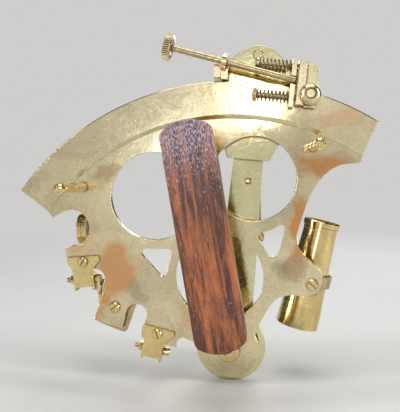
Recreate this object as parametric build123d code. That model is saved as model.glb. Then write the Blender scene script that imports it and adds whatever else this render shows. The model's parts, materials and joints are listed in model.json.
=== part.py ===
from build123d import *
import os
from math import asin, cos, radians, sin

# A nautical sextant with a wooden handle: brass frame, index arm, mirrors, shades and telescope.
# Millimetres. The frame plate stands upright with its arc on top: +X to the right seen from the
# handle side, +Z up the arm, -Y towards the handle and the legs, +Y towards the mirrors and the
# telescope. Every piece is drawn about the index pivot, at the back face of the plate, and the
# finished pieces are then moved so that the origin is the middle of the grip's outer face.

# ---- driving dimensions -------------------------------------------------------------------
LIMB_R = 160.0            # outer radius of the graduated limb
LIMB_WIDTH = 21.5
LIMB_LEFT = -53.3         # ends of the limb, degrees from straight up
LIMB_RIGHT = 33.4
WEB_T = 3.5               # thickness of the cast web
LIMB_BACK = -1.0          # the limb stands proud of the web on both faces
LIMB_FRONT = 3.9
LOBE_R = 16.7             # round end of the frame at the index pivot
LOBE_MID = (1.2, 0.3)

ARM_ANGLE = 5.4           # index arm at rest, degrees to the right of straight up
ARM_BACK = 7.8
ARM_FRONT = 10.2
DISC_R = 21.2             # round foot of the index arm
DISC_SHIFT = 0.6          # the foot sits a little to one side of the pivot
MIRROR_LEAD = -12.3       # index mirror against the arm, degrees

OPTIC_Y = 24.0            # height of the line of sight in front of the plate's back face
LEG_H = 41.9              # legs and handle reach the same height
HANDLE_TILT = -9.65
HANDLE_L = 125.0
HANDLE_W = 28.2
WOOD_T = 9.4
LINER_T = 2.5

SHADE_R = 11.0            # outer radius of a shade ring
SHADE_REACH = 32.0        # hinge to ring centre
SHADE_PITCH = 2.9
INDEX_LEANS = (37.0, 37.0, 37.0)         # shades raised, leaned away from the plate
HORIZON_LEANS = (26.5, 26.5, 121.5)      # two raised, the third folded away
BOLT_Y = 3.5              # depth of both shade bolts
BOLT_R = 1.5
BRACKET_HALF = 6.4        # half the width of a shade bracket across its ears

SCOPE_TILT = 13.0         # stowed telescope, degrees to the right of straight up
RUN = 0.05                # radial running clearance
FIT = 0.02                # radial clearance of a screwed or pressed joint

# ---- places on the plate: (x, z) ----------------------------------------------------------
LEFT_LEG = (-89.0, 98.0)
RIGHT_LEG = (48.0, 121.5)
HANDLE_MID = (-11.6, 72.6)
UPPER_POST = (-20.3, 124.0)
LOWER_POST = (-2.3, 14.6)
HORIZON = (-70.0, 24.6)
SWIVEL = (48.6, 41.0)
HORIZON_BOLT = (-89.35, 40.65)
HORIZON_BOLT_TILT = -5.0
INDEX_BOLT = (-46.9, -1.75)
INDEX_BOLT_TILT = 12.3

# ---- places on the index arm, in the arm's own upright axes: (across, along) ----------------
MAGNIFIER_PIVOT = (9.8, 69.0)
MAGNIFIER_EYE = (0.0, 141.0)
ARM_SCREWS = [(-0.3, 125.1), (-11.0, 131.0), (11.0, 131.0)]
ARM_RIVET = (1.0, 102.0)
GUIDE_V = (152.4, 170.0)  # distances of the two guide screws along the arm
GUIDE_Y = -4.6
ROD_Y = -8.2
KNOB = (-51.5, 174.4)
ROD_END_V = 161.05
BEARING_U = -18.6
CLAMP_KNOB = (30.9, 153.6)


# ---- small helpers ------------------------------------------------------------------------
def slab(outline, y_low, y_high):
    """An outline drawn in X and Z, given thickness between two depths."""
    return extrude(Plane.XZ.offset(-y_high) * outline, y_high - y_low)


def disc(place, radius, y_low, y_high):
    return slab(Pos(*place) * Circle(radius), y_low, y_high)


def turned(profile, origin=(0, 0, 0), direction=(0, 0, 1)):
    """A turned piece: the profile is (radius, distance along the axis) pairs."""
    outline = make_face(Polyline(*profile, close=True))
    return Plane(origin=origin, z_dir=direction) * revolve(Plane.XZ * outline, Axis.Z)


def pin(origin, direction, radius, start, end):
    """A plain round bar along an axis."""
    return turned([(0, start), (radius, start), (radius, end), (0, end)], origin, direction)


def dome(radius, s_rim, s_top):
    """Arc from the axis out to a rim, with its centre on the axis; points are (radius, distance)."""
    rise = s_top - s_rim
    sphere = (radius ** 2 + rise ** 2) / (2 * rise)
    half = asin(radius / sphere) / 2
    middle = (sphere * sin(half), s_top - sphere + sphere * cos(half))
    return ThreePointArc((0, s_top), middle, (radius, s_rim))


def turned_outline(edges, origin=(0, 0, 0), direction=(0, 0, 1)):
    """A turned piece whose half outline has arcs."""
    return Plane(origin=origin, z_dir=direction) * revolve(Plane.XZ * make_face(edges), Axis.Z)


def convex_lens(radius, half_rim, bulge, origin, direction):
    """Double-convex lens centred on a point of its axis."""
    edges = [
        dome(radius, half_rim, half_rim + bulge),
        Line((radius, half_rim), (radius, -half_rim)),
        dome(radius, -half_rim, -half_rim - bulge),
        Line((0, -half_rim - bulge), (0, half_rim + bulge)),
    ]
    return turned_outline(edges, origin, direction)


def block(x, y, z):
    """A square block from three (low, high) pairs."""
    size = [high - low for low, high in (x, y, z)]
    return Pos(*[(low + high) / 2 for low, high in (x, y, z)]) * Box(*size)


def polar(radius, angle):
    """A point at an angle in degrees to the right of straight up."""
    return (radius * sin(radians(angle)), radius * cos(radians(angle)))


def sector(r_in, r_out, left, right):
    """Part of a flat ring between two angles."""
    middle = (left + right) / 2
    edge = [
        ThreePointArc(polar(r_out, left), polar(r_out, middle), polar(r_out, right)),
        Line(polar(r_out, right), polar(r_in, right)),
        ThreePointArc(polar(r_in, right), polar(r_in, middle), polar(r_in, left)),
        Line(polar(r_in, left), polar(r_out, left)),
    ]
    return make_face(edge)


def turn_y(degrees, place=(0, 0)):
    """Turn about Y so that up leans to the right, at a place on the plate."""
    return Pos(place[0], 0, place[1]) * Rot(0, degrees, 0)


def slot_cut(place, width, length, y_low, y_high, angle):
    """The driver slot of a screw head that faces along Y."""
    return turn_y(angle, place) * block((-width / 2, width / 2), (y_low, y_high), (-length, length))


def screw_from_back(place, head_r, shank_r, tip_y, slot_angle, head_h=2.0):
    """Slotted cheese-head screw lying on the back face of the plate, or of a bracket on it."""
    top = -head_h - FIT
    profile = [(0, top), (head_r - 0.5, top), (head_r, top + 0.5), (head_r, -FIT),
               (shank_r, -FIT), (shank_r, tip_y), (0, tip_y)]
    screw = turned(profile, (place[0], 0, place[1]), (0, 1, 0))
    return screw - slot_cut(place, 0.9, head_r + 1, top - 1, top + 0.8, slot_angle)


# ---- frame --------------------------------------------------------------------------------
def web_outline():
    """The cast web: arms and lugs that join the limb to the pivot lobe."""
    top = LIMB_R - 12
    edge = [
        ThreePointArc(polar(top, -52.5), polar(top, -10), polar(top, 32)),
        Line(polar(top, 32), (76.3, 115.4)),
        Line((76.3, 115.4), (75.0, 112.2)),
        Spline((75.0, 112.2), (62.5, 110.4), (53.3, 103.3), (45.0, 88.3), (40.4, 73.3), (40.8, 62.5),
               tangents=[(-1, -0.1), (0.25, -1)]),
        ThreePointArc((40.8, 62.5), (43.5, 58.6), (49.2, 53.3)),
        ThreePointArc((49.2, 53.3), (54.7, 44.0), (47.5, 34.2)),
        Spline((47.5, 34.2), (38.3, 34.3), (29.2, 32.5), (21.7, 23.3), (15.0, 7.5),
               tangents=[(-1, -0.1), (-0.3, -1)]),
        Line((15.0, 7.5), (0, 0)),
        Line((0, 0), (-14.5, 8.4)),
        ThreePointArc((-14.5, 8.4), (-18.5, 5.6), (-21.7, 4.6)),
        ThreePointArc((-21.7, 4.6), (-24.6, 5.5), (-27.5, 6.9)),
        ThreePointArc((-27.5, 6.9), (-31.2, 4.9), (-32.1, 0.8)),
        Line((-32.1, 0.8), (-37.5, 1.7)),
        Line((-37.5, 1.7), (-53.4, 6.3)),
        Line((-53.4, 6.3), (-53.4, 10.5)),
        Line((-53.4, 10.5), (-50.4, 18.3)),
        Spline((-50.4, 18.3), (-50.6, 23.0), (-55.8, 26.5), (-61.4, 24.6), (-63.8, 19.0), (-65.7, 11.3),
               tangents=[(0.3, 1), (-0.3, -1)]),
        Line((-65.7, 11.3), (-83.5, 16.0)),
        Line((-83.5, 16.0), (-78.3, 30.0)),
        Spline((-78.3, 30.0), (-75.9, 39.0), (-82.5, 47.9), tangents=[(0.3, 1), (-1, 0.1)]),
        Line((-82.5, 47.9), (-99.2, 49.2)),
        Line((-99.2, 49.2), (-101.0, 59.6)),
        ThreePointArc((-101.0, 59.6), (-98.3, 61.3), (-92.5, 61.9)),
        ThreePointArc((-92.5, 61.9), (-85.4, 71.5), (-98.3, 83.8)),
        ThreePointArc((-98.3, 83.8), (-103.4, 82.1), (-108.4, 79.0)),
        Line((-108.4, 79.0), polar(top, -52.5)),
    ]
    return make_face(edge) + Pos(*LOBE_MID) * Circle(LOBE_R)


def rounded_triangle(corners, radii):
    """Three-cornered outline with its own rounding at each corner."""
    outline = make_face(Polyline(*corners, close=True))
    for (x, z), radius in zip(corners, radii):
        outline = fillet(outline.vertices().sort_by_distance((x, z, 0))[0], radius)
    return outline


def web_openings():
    """Three round openings and two three-cornered ones, as in a casting."""
    left_triangle = rounded_triangle([(-56.6, 60.8), (-34.3, 60.8), (-38.8, 41.0)], (2.8, 2.0, 2.5))
    right_edge = [
        ThreePointArc((15.8, 71.0), (23.5, 72.6), (32.6, 78.5)),
        ThreePointArc((32.6, 78.5), (31.2, 68.0), (26.0, 54.0)),
        ThreePointArc((26.0, 54.0), (20.6, 62.0), (15.8, 71.0)),
    ]
    right_triangle = fillet(make_face(right_edge).vertices(), 2.0)
    return [Pos(-45.5, 92.5) * Circle(26.4), Pos(14.2, 103.0) * Circle(25.0),
            Pos(-6.0, 44.3) * Circle(26.3), left_triangle, right_triangle]


def bracket_screw_places():
    """The screw of each shade bracket sits above its bolt, a little to the right."""
    places = []
    for bolt, tilt in ((HORIZON_BOLT, HORIZON_BOLT_TILT), (INDEX_BOLT, INDEX_BOLT_TILT)):
        spot = turn_y(tilt, bolt) * Pos(1.0, 0, 11.4)
        places.append((spot.position.X, spot.position.Z))
    return places


def limb_ring():
    """The graduated arc, swept about the pivot, with a broad bevel on the inner edge of its back."""
    inner = LIMB_R - LIMB_WIDTH
    section = [(inner + 2.1, LIMB_BACK), (LIMB_R - 0.5, LIMB_BACK), (LIMB_R, LIMB_BACK + 0.5),
               (LIMB_R, LIMB_FRONT - 0.4), (LIMB_R - 0.4, LIMB_FRONT), (inner + 0.4, LIMB_FRONT),
               (inner, LIMB_FRONT - 0.4), (inner, -0.3)]
    ring = revolve(make_face(Polyline(*section, close=True)), Axis.Y, LIMB_RIGHT - LIMB_LEFT)
    ring = Rot(0, LIMB_LEFT - 90, 0) * ring
    ring -= turn_y(23.2, (75.6, 115.0)) * block((0, 20), (-3, 6), (-12, 40))
    for end in ((80.4, 125.7), polar(LIMB_R - LIMB_WIDTH / 2, LIMB_LEFT)):
        back_edge = ring.edges().sort_by_distance((end[0], LIMB_BACK, end[1]))[0]
        ring = chamfer(back_edge, 0.7)
    return ring


def frame_plate():
    web = slab(web_outline(), 0, WEB_T)
    plate = web + limb_ring()
    for opening in web_openings():
        plate -= slab(opening, -2, WEB_T + 2)
    holes = [((0, 0), 5.5 + FIT), (SWIVEL, 2.0 + RUN), (HORIZON, 1.8 + FIT)]
    holes += [(leg, 2.0 + FIT) for leg in (LEFT_LEG, RIGHT_LEG)]
    holes += [(post, 1.5 + FIT) for post in (UPPER_POST, LOWER_POST)]
    holes += [(place, 1.4 + FIT) for place in bracket_screw_places()]
    for place, radius in holes:
        plate -= disc(place, radius, -2, WEB_T + 2)
    for post in (UPPER_POST, LOWER_POST):
        sink = [(0, 1.6), (1.5, 1.6), (3.1, 3.2), (3.1, 6.0), (0, 6.0)]
        plate -= turned(sink, (post[0], 0, post[1]), (0, 1, 0))
    return plate


def support_legs():
    """Turned feet: a stout shank, a slimmer neck and a ringed button at the tip."""
    profile = [(0, -WEB_T), (2.0, -WEB_T), (2.0, 0), (2.75, 0), (2.75, 19.6), (2.45, 20.2), (2.4, 34.0),
               (1.9, 34.9), (1.9, 35.6), (2.7, 36.3), (3.0, 37.3), (3.0, 40.0), (2.75, 40.9), (2.1, 41.5),
               (1.9, 41.3), (1.2, 41.5), (0.9, LEG_H), (0, LEG_H)]
    return [turned(profile, (x, 0, z), (0, -1, 0)) for x, z in (LEFT_LEG, RIGHT_LEG)]


def handle_outline():
    """Long flat grip with shallow round ends and softened corners."""
    side = HANDLE_W / 2
    end = HANDLE_L / 2
    shoulder = end - 5.5
    edge = [
        Line((-side, -shoulder), (-side, shoulder)),
        ThreePointArc((-side, shoulder), (0, end), (side, shoulder)),
        Line((side, shoulder), (side, -shoulder)),
        ThreePointArc((side, -shoulder), (0, -end), (-side, -shoulder)),
    ]
    return fillet(make_face(edge).vertices(), 5.0)


GRIP_BACK = -LEG_H
LINER_BACK = GRIP_BACK + WOOD_T
LINER_FRONT = LINER_BACK + LINER_T
GRIP_SCREWS = (-42.0, 0.0, 42.0)       # places of the grip screws along the handle


def handle_grip():
    grip = slab(handle_outline(), GRIP_BACK, LINER_BACK)
    rim = grip.faces().sort_by(Axis.Y)[0].edges()
    grip = fillet(rim, 1.6)
    for along in GRIP_SCREWS:
        grip -= disc((0, along), 1.5 + FIT, LINER_BACK - 6.5, LINER_BACK + 1)
    return turn_y(HANDLE_TILT, HANDLE_MID) * grip


def handle_liner():
    liner = slab(handle_outline(), LINER_BACK, LINER_FRONT)
    for along in GRIP_SCREWS:
        liner -= disc((0, along), 1.5 + FIT, LINER_BACK - 1, LINER_FRONT + 1)
    return turn_y(HANDLE_TILT, HANDLE_MID) * liner


def grip_screws():
    """Short wood screws through the liner into the back of the grip."""
    profile = [(0, LINER_BACK - 6.0), (1.5, LINER_BACK - 6.0), (1.5, LINER_FRONT), (2.8, LINER_FRONT),
               (2.2, LINER_FRONT + 1.3), (0, LINER_FRONT + 1.3)]
    screws = []
    for along in GRIP_SCREWS:
        screw = turned(profile, (0, 0, along), (0, 1, 0))
        screw -= slot_cut((0, along), 0.8, 3.5, LINER_FRONT + 0.7, LINER_FRONT + 2, 30)
        screws.append(turn_y(HANDLE_TILT, HANDLE_MID) * screw)
    return screws


def handle_posts():
    """Two round pillars that hold the handle clear of the frame."""
    length = -LINER_FRONT
    profile = [(1.5 + FIT, 0), (3.5, 0), (3.5, 1.4), (3.1, 2.0), (3.1, length), (0, length), (0, 9.0),
               (1.5 + FIT, 9.0)]
    return [turned(profile, (x, 0, z), (0, -1, 0)) for x, z in (UPPER_POST, LOWER_POST)]


def handle_screws():
    """Countersunk screws, flush with the front of the web so that the arm passes over them."""
    profile = [(0, -8.5), (1.5, -8.5), (1.5, 1.6 + FIT), (3.0, 3.2), (3.0, 3.45), (0, 3.45)]
    screws = []
    for place in (UPPER_POST, LOWER_POST):
        screw = turned(profile, (place[0], 0, place[1]), (0, 1, 0))
        screws.append(screw - slot_cut(place, 0.8, 4, 2.8, 5, 40))
    return screws


def pivot_bush():
    """Flanged bearing of the index arm, pressed into the lobe."""
    bore = 3.45 + RUN
    profile = [(bore, 0), (5.5, 0), (5.5, WEB_T), (9.0, WEB_T), (9.0, ARM_BACK - 0.5),
               (8.5, ARM_BACK - 0.1), (bore, ARM_BACK - 0.1)]
    return turned(profile, (0, 0, 0), (0, 1, 0))


# ---- shade brackets and shades --------------------------------------------------------------
def shade_bracket(bolt, tilt):
    """Bent sheet bracket: a wide flange on the back of the web and two ears that hold the bolt."""
    sheet = 1.4
    half = BRACKET_HALF
    edge = [
        Line((-8.7, 14.6), (11.0, 14.6)),
        Line((11.0, 14.6), (11.4, 11.6)),
        ThreePointArc((11.4, 11.6), (8.7, 8.9), (half, 5.2)),
        Line((half, 5.2), (half, -4.2)),
        Line((half, -4.2), (-half, -4.2)),
        Line((-half, -4.2), (-half, 4.6)),
        ThreePointArc((-half, 4.6), (-7.3, 8.0), (-9.1, 10.6)),
        Line((-9.1, 10.6), (-8.7, 14.6)),
    ]
    outline = make_face(edge)
    for corner in ((-8.7, 14.6), (11.0, 14.6), (11.4, 11.6)):
        outline = fillet(outline.vertices().sort_by_distance((corner[0], corner[1], 0))[0], 1.0)
    plate = slab(outline, -sheet, -FIT)
    for side in (-1, 1):
        inner, outer = sorted((side * (half - sheet), side * half))
        plate += block((inner, outer), (-sheet, BOLT_Y + 2.0), (-6.2, 4.0))
        plate += pin((0, BOLT_Y, 0), (1, 0, 0), 4.2, inner, outer)
    bends = plate.edges().filter_by(Axis.Z).filter_by(
        lambda e: e.center().Y < -1.3 and abs(e.center().X) > half - 0.1)
    plate = fillet(bends, 0.9)
    plate -= pin((0, BOLT_Y, 0), (1, 0, 0), BOLT_R + FIT, -9, 9)
    plate -= disc((1.0, 11.4), 1.4 + FIT, -3, 1)
    return turn_y(tilt, bolt) * plate


def index_shade_bracket():
    return shade_bracket(INDEX_BOLT, INDEX_BOLT_TILT)


def horizon_shade_bracket():
    return shade_bracket(HORIZON_BOLT, HORIZON_BOLT_TILT)


def bracket_screws():
    screws = []
    for place, slot_angle in zip(bracket_screw_places(), (35, -20)):
        screw = screw_from_back(place, 2.8, 1.4, WEB_T + 1.2, slot_angle)
        screws.append(Pos(0, -1.4, 0) * screw)
    return screws


def both_bolts(piece):
    """A copy of a piece on each shade bolt."""
    return [turn_y(INDEX_BOLT_TILT, INDEX_BOLT) * piece, turn_y(HORIZON_BOLT_TILT, HORIZON_BOLT) * piece]


def shade_bolts():
    seat = BRACKET_HALF + FIT
    profile = [(0, -11.8), (BOLT_R - 0.3, -11.8), (BOLT_R, -11.5), (BOLT_R, seat), (2.6, seat),
               (2.6, 9.4), (2.0, 10.2), (0, 10.2)]
    bolt = turned(profile, (0, BOLT_Y, 0), (1, 0, 0))
    bolt -= block((9.3, 11), (BOLT_Y - 0.4, BOLT_Y + 0.4), (-3, 3))
    return both_bolts(bolt)


def shade_nuts():
    hexagon = Plane.YZ.offset(-8.9) * RegularPolygon(2.9, 6)
    nut = Pos(0, BOLT_Y, 0) * extrude(hexagon, 8.9 - BRACKET_HALF - FIT)
    nut -= pin((0, BOLT_Y, 0), (1, 0, 0), BOLT_R + FIT, -12, 0)
    return both_bolts(nut)


def shade_frame(offset):
    """Brass ring on a flat arm with an eye for the bolt; it points straight up before it is leaned."""
    half = 1.3
    ring = turned([(9.0, -half), (SHADE_R, -half), (SHADE_R, half), (9.0, half)],
                  (offset, 0, SHADE_REACH), (1, 0, 0))
    strip = block((offset - 0.7, offset + 0.7), (-2.2, 2.2), (0, SHADE_REACH - 10.0))
    eye = pin((offset, 0, 0), (1, 0, 0), 3.1, -half, half)
    bore = pin((offset, 0, 0), (1, 0, 0), BOLT_R + RUN, -3, 3)
    return ring + strip + eye - bore


def shade_glass(offset):
    return turned([(0, -0.9), (9.0 - FIT, -0.9), (9.0 - FIT, 0.9), (0, 0.9)],
                  (offset, 0, SHADE_REACH), (1, 0, 0))


def lean_shade(piece, bolt, tilt, lean):
    """Hang a shade piece on its bolt, leaned away from the plate."""
    return turn_y(tilt, bolt) * (Pos(0, BOLT_Y, 0) * (Rot(-lean, 0, 0) * piece))


# ---- horizon mirror ---------------------------------------------------------------------------
HORIZON_MIRROR_ANGLE = 5.7      # plane of the horizon mirror, degrees to the right of straight up
GLASS_LOW = OPTIC_Y - 12.0      # both mirrors stand centred on the line of sight
GLASS_HIGH = OPTIC_Y + 12.0
HORIZON_ADJUSTERS = [(14.5, -7.5), (21.0, 7.5)]      # (depth, along) of the two tilt screws


def horizon_mirror_frame():
    """Flat foot under the web's edge with an upright that is open behind the clear half."""
    foot = fillet((Pos(-68.7, 23.9) * Rot(0, 0, -20) * Rectangle(20.0, 27.7)).vertices(), 2.5)
    frame = slab(foot, WEB_T, WEB_T + 2.0)
    upright = block((-4.6, -2.4), (WEB_T + 1.0, GLASS_HIGH + 0.6), (-12.4, 12.4))
    upright -= block((-6, 0), (OPTIC_Y, GLASS_HIGH - 1.6), (-10.4, 10.4))
    ledge = block((-4.6, 0.6), (GLASS_LOW - 1.8, GLASS_LOW - FIT), (-12.4, 12.4))
    knee = block((-9.0, -2.4), (WEB_T + 1.0, GLASS_LOW), (-1.5, 1.5))
    frame += turn_y(HORIZON_MIRROR_ANGLE, HORIZON) * (upright + ledge + knee)
    frame -= disc(HORIZON, 1.8 + FIT, 0, 9)
    for depth, along in HORIZON_ADJUSTERS:
        hole = pin((0, depth, along), (1, 0, 0), 1.0 + FIT, -8, 0)
        frame -= turn_y(HORIZON_MIRROR_ANGLE, HORIZON) * hole
    return frame


def horizon_adjusters():
    screws = []
    for depth, along in HORIZON_ADJUSTERS:
        head = block((-8.4, -5.4), (depth - 1.1, depth + 1.1), (along - 1.1, along + 1.1))
        screw = head + pin((0, depth, along), (1, 0, 0), 1.0, -5.4, -2.45)
        screws.append(turn_y(HORIZON_MIRROR_ANGLE, HORIZON) * screw)
    return screws


def horizon_mirror_screw():
    return screw_from_back(HORIZON, 3.1, 1.8, WEB_T + 2.0, 55)


def horizon_glass():
    """Silvered on the half next to the frame, clear on the other half."""
    glass = block((-2.3, 0), (GLASS_LOW, GLASS_HIGH), (-12, 12))
    return turn_y(HORIZON_MIRROR_ANGLE, HORIZON) * glass


def spring_clip(x_front, x_back, y_top, half_width, drop):
    """Thin clip folded over the top edge of a mirror."""
    front = block((x_front, x_front + 0.5), (y_top - drop, y_top + 0.6), (-half_width, half_width))
    back = block((x_back - 0.5, x_back), (y_top - drop, y_top + 0.6), (-half_width, half_width))
    top = block((x_front, x_back), (y_top + 0.05, y_top + 0.6), (-half_width, half_width))
    return front + back + top


def horizon_mirror_clip():
    clip = spring_clip(-5.2, 0.6, GLASS_HIGH + 0.6, 2.5, 4.0)
    return turn_y(HORIZON_MIRROR_ANGLE, HORIZON) * clip


# ---- index arm ----------------------------------------------------------------------------
def on_arm(piece):
    """Place a piece drawn in the arm's upright axes."""
    return Rot(0, ARM_ANGLE, 0) * piece


def index_arm():
    """Flat tapered arm with a round foot and a flared upper end."""
    edge = [
        Line((-12.1, 10.0), (-8.8, 114.0)),
        Line((-8.8, 114.0), (-8.8, 116.0)),
        ThreePointArc((-8.8, 116.0), (-11.5, 121.5), (-16.0, 126.0)),
        Line((-16.0, 126.0), (-16.0, 136.0)),
        Line((-16.0, 136.0), (16.0, 136.0)),
        Line((16.0, 136.0), (16.0, 126.0)),
        ThreePointArc((16.0, 126.0), (11.5, 121.5), (8.8, 116.0)),
        Line((8.8, 116.0), (8.8, 114.0)),
        Line((8.8, 114.0), (12.1, 10.0)),
        Line((12.1, 10.0), (-12.1, 10.0)),
    ]
    outline = make_face(edge) + Pos(DISC_SHIFT, 0) * Circle(DISC_R) + Pos(*MAGNIFIER_PIVOT) * Circle(4.3)
    arm = slab(outline, ARM_BACK, ARM_FRONT)
    holes = [((0, 0), 3.45 + FIT), (ARM_RIVET, 1.5 + FIT), (MAGNIFIER_PIVOT, 1.5 + FIT)]
    holes += [(place, 1.2 + FIT) for place in ARM_SCREWS]
    holes += [(place, 1.3 + FIT) for place in mirror_screw_places()]
    for place, radius in holes:
        arm -= disc(place, radius, ARM_BACK - 1, ARM_FRONT + 1)
    sink = [(0, ARM_BACK - 1), (2.3, ARM_BACK - 1), (2.3, ARM_BACK), (1.5, ARM_BACK + 0.7),
            (0, ARM_BACK + 0.7)]
    arm -= turned(sink, (ARM_RIVET[0], 0, ARM_RIVET[1]), (0, 1, 0))
    return on_arm(arm)


PLATE_BACK = LIMB_FRONT + 0.1       # the arm's end plate glides just clear of the limb
BELL_STUD = (-0.4, 176.3)           # ring scribed around the stud end in the bell


def end_plate_outline():
    """Skirt under the limb, straight sides across it and a bell above it."""
    edge = [
        Line((-12.8, 115.0), (12.8, 115.0)),
        ThreePointArc((12.8, 115.0), (16.6, 124.0), (24.6, 137.0)),
        Line((24.6, 137.0), (24.6, 169.0)),
        Spline((24.6, 169.0), (17.6, 172.3), (9.6, 178.8), (0.6, 181.7), (-8.4, 178.8), (-16.6, 172.3),
               (-24.6, 168.4), tangents=[(-1, 0.2), (-1, -0.2)]),
        Line((-24.6, 168.4), (-24.6, 137.0)),
        ThreePointArc((-24.6, 137.0), (-16.6, 124.0), (-12.8, 115.0)),
    ]
    return make_face(edge)


def arm_end_plate():
    plate = slab(end_plate_outline(), PLATE_BACK, ARM_BACK)
    plate -= slab(sector(141.0, 154.0, -5.6, 5.6), 0, 12)
    plate -= slab(Pos(*BELL_STUD) * (Circle(3.0) - Circle(2.55)), PLATE_BACK - 1, PLATE_BACK + 0.5)
    for place in ARM_SCREWS:
        plate -= disc(place, 1.2 + FIT, 0, 12)
    return on_arm(plate)


def arm_end_screws():
    """Three screws through the end plate, and a rivet through the arm below it."""
    profile = [(0, PLATE_BACK + 0.1), (1.2, PLATE_BACK + 0.1), (1.2, ARM_FRONT + FIT), (2.1, ARM_FRONT + FIT),
               (2.1, ARM_FRONT + 0.7), (1.6, ARM_FRONT + 1.1), (0, ARM_FRONT + 1.1)]
    screws = []
    for place in ARM_SCREWS:
        screw = turned(profile, (place[0], 0, place[1]), (0, 1, 0))
        screws.append(on_arm(screw - slot_cut(place, 0.6, 3, ARM_FRONT + 0.6, 14, 25)))
    rivet = [(0, ARM_BACK + 0.1), (1.0, ARM_BACK + 0.15), (1.5, ARM_BACK + 0.5), (1.5, ARM_FRONT + FIT),
             (2.3, ARM_FRONT + FIT), (1.9, ARM_FRONT + 0.7), (0, ARM_FRONT + 1.0)]
    screws.append(on_arm(turned(rivet, (ARM_RIVET[0], 0, ARM_RIVET[1]), (0, 1, 0))))
    return screws


def vernier_scale():
    return on_arm(slab(sector(141.05, 146.6, -5.2, 5.2), PLATE_BACK, PLATE_BACK + 1.3))


def index_spindle():
    """Centre of the index arm: it runs in the bush and is fixed in the arm's foot."""
    profile = [(0, ARM_FRONT), (3.45, ARM_FRONT), (3.45, -1.2), (1.6 + FIT, -1.2), (1.6 + FIT, 6.0), (0, 6.0)]
    return turned(profile, (0, 0, 0), (0, 1, 0))


def pivot_nut():
    """Round retaining ring on the handle side of the pivot."""
    back = -4.0
    profile = [(3.45 + FIT, -0.1), (6.3, -0.1), (6.3, back + 0.8), (5.6, back), (1.6 + FIT, back),
               (1.6 + FIT, -1.2 - FIT), (3.45 + FIT, -1.2 - FIT)]
    return turned(profile, (0, 0, 0), (0, 1, 0))


def pivot_screw():
    profile = [(0, -5.6), (2.5, -5.6), (3.1, -5.0), (3.1, -4.02), (1.6, -4.02), (1.6, 5.0), (0, 5.0)]
    screw = turned(profile, (0, 0, 0), (0, 1, 0)) - slot_cut((0, 0), 0.8, 4, -7, -4.9, 60)
    return on_arm(screw)


def with_index_mirror(piece):
    """Place a piece drawn against the mirror plane x = 0, with the reflecting side on the left."""
    return Rot(0, ARM_ANGLE + MIRROR_LEAD, 0) * piece


def mirror_screw_places():
    """The two foot screws of the index mirror, in the arm's upright axes."""
    places = []
    for along in (-8.0, 8.0):
        spot = Rot(0, MIRROR_LEAD, 0) * Pos(7.4, 0, along)
        places.append((spot.position.X, spot.position.Z))
    return places


FOOT_TOP = ARM_FRONT + 1.8


def index_mirror_frame():
    foot = block((-4.0, 11.0), (ARM_FRONT, FOOT_TOP), (-12.5, 12.5))
    foot = chamfer(foot.edges().filter_by(Axis.Y).sort_by(Axis.X)[2:], 3.0)
    upright = block((0.1, 2.1), (FOOT_TOP - 0.2, GLASS_HIGH + 0.6), (-15.6, 15.6))
    gussets = [block((2.0, 8.0), (FOOT_TOP - 0.2, FOOT_TOP + 1.8), (z - 0.7, z + 0.7)) for z in (-2.5, 2.5)]
    frame = foot + upright + gussets[0] + gussets[1]
    for along in (-8.0, 8.0):
        frame -= disc((7.4, along), 1.3 + FIT, 0, 20)
    frame -= pin((0, 29.0, 0), (1, 0, 0), 1.0 + FIT, -1, 4)
    frame -= disc((0, 0), 3.6, 0, ARM_FRONT + 0.3)
    return with_index_mirror(frame)


def index_mirror():
    return with_index_mirror(block((-2.4, 0.1), (FOOT_TOP + FIT, GLASS_HIGH), (-15, 15)))


def index_mirror_clip():
    return with_index_mirror(spring_clip(-3.0, 2.7, GLASS_HIGH + 0.6, 3.0, 4.0))


def index_mirror_screws():
    profile = [(0, ARM_BACK + 0.1), (1.3, ARM_BACK + 0.1), (1.3, FOOT_TOP + FIT), (2.3, FOOT_TOP + FIT),
               (2.3, FOOT_TOP + 1.2), (1.7, FOOT_TOP + 1.7), (0, FOOT_TOP + 1.7)]
    screws = []
    for along in (-8.0, 8.0):
        screw = turned(profile, (7.4, 0, along), (0, 1, 0))
        screw -= slot_cut((7.4, along), 0.7, 3, FOOT_TOP + 1.0, 20, 15)
        screws.append(with_index_mirror(screw))
    return screws


def index_adjuster():
    """Square-headed tilt screw in the back of the index mirror frame."""
    head = block((3.4, 6.4), (27.9, 30.1), (-1.1, 1.1))
    return with_index_mirror(head + pin((0, 29.0, 0), (1, 0, 0), 1.0, 0.2, 3.4))


# ---- magnifier --------------------------------------------------------------------------------
def magnifier_arm():
    """Thin swinging strip with a pillar that carries the lens ring above the vernier."""
    u, v = MAGNIFIER_PIVOT
    eye_u, eye_v = MAGNIFIER_EYE
    low, high = ARM_FRONT + 1.4, ARM_FRONT + 2.8
    strip = make_face(Polyline((u - 3.0, v), (eye_u + 0.2, eye_v - 11.0), (eye_u + 4.4, eye_v - 10.4),
                               (u + 3.0, v), close=True))
    arm = slab(strip, low, high) + disc((u, v), 3.6, ARM_FRONT + RUN, high)
    arm += disc((eye_u + 2.2, eye_v - 10.8), 2.2, low, 22.0)
    ring = disc(MAGNIFIER_EYE, 10.0, 18.0, 22.0) - disc(MAGNIFIER_EYE, 8.5, 17, 23)
    arm = arm - disc(MAGNIFIER_EYE, 9.5, 17, 23) + ring
    arm -= disc((u, v), 1.5 + RUN, 0, 20)
    return on_arm(arm)


def magnifier_lens():
    u, v = MAGNIFIER_EYE
    return on_arm(convex_lens(8.5 - FIT, 0.8, 1.3, (u, 20.0, v), (0, 1, 0)))


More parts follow.
